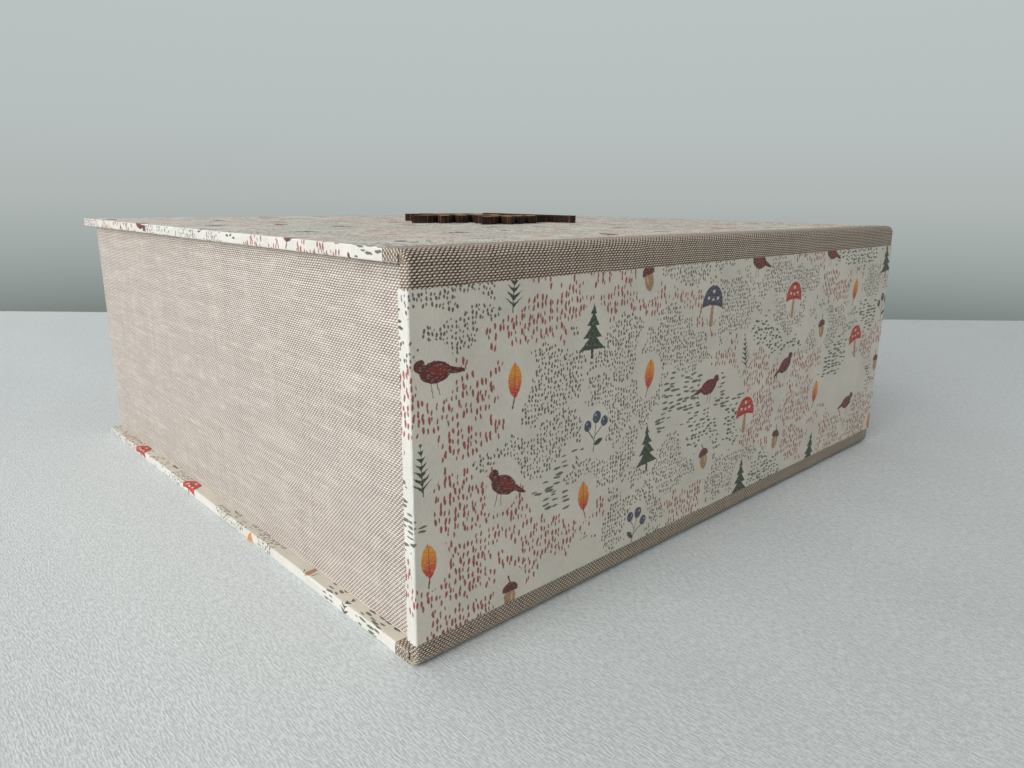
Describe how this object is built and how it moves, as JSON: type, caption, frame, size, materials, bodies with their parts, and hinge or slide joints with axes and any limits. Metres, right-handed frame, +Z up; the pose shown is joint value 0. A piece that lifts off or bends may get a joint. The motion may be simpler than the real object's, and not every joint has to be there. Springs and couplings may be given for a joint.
{
  "type": "photo storage box",
  "caption": "Rectangular keepsake box: a cloth-covered tray in a book-style case, with a flat lid that hinges on the cloth joint along its spine.",
  "frame": {"origin": "middle of the box's footprint, on the surface that it stands on", "axes": "+Z up, +X along the spine, +Y from the fore-edge to the spine"},
  "size_m": [0.2486, 0.235, 0.098],
  "materials": {
    "greyboard": "unbleached grey binder's board",
    "printed_paper": "matt off-white paper with a small scattered woodland print",
    "book_cloth": "two-tone plain-weave book cloth, cream on taupe",
    "lining_paper": "matt plain cream paper",
    "plywood": "laser-cut plywood, edges charred dark brown"
  },
  "bodies": {
    "box": {"spine_board": "greyboard", "spine_cloth": "book_cloth", "spine_panel_paper": "printed_paper", "spine_hinge_lining": "book_cloth", "base_board": "greyboard", "base_cover_paper": "printed_paper", "base_joint_cloth": "book_cloth", "tray_floor_board": "greyboard", "tray_front_wall": "greyboard", "tray_back_wall": "greyboard", "tray_left_wall": "greyboard", "tray_right_wall": "greyboard", "tray_cloth": "book_cloth", "tray_wall_lining": "lining_paper", "tray_floor_lining": "lining_paper"},
    "lid": {"lid_board": "greyboard", "lid_cover_paper": "printed_paper", "lid_joint_cloth": "book_cloth", "lid_lining_paper": "lining_paper", "lid_hinge_lining": "book_cloth", "lid_ornament": "plywood"}
  },
  "joints": [
    {"name": "lid_hinge", "type": "hinge", "parent": "box", "child": "lid", "pos_m": [0, 0.11665, 0.09445], "axis": [-1, 0, 0], "range_deg": [0, 203]}
  ]
}
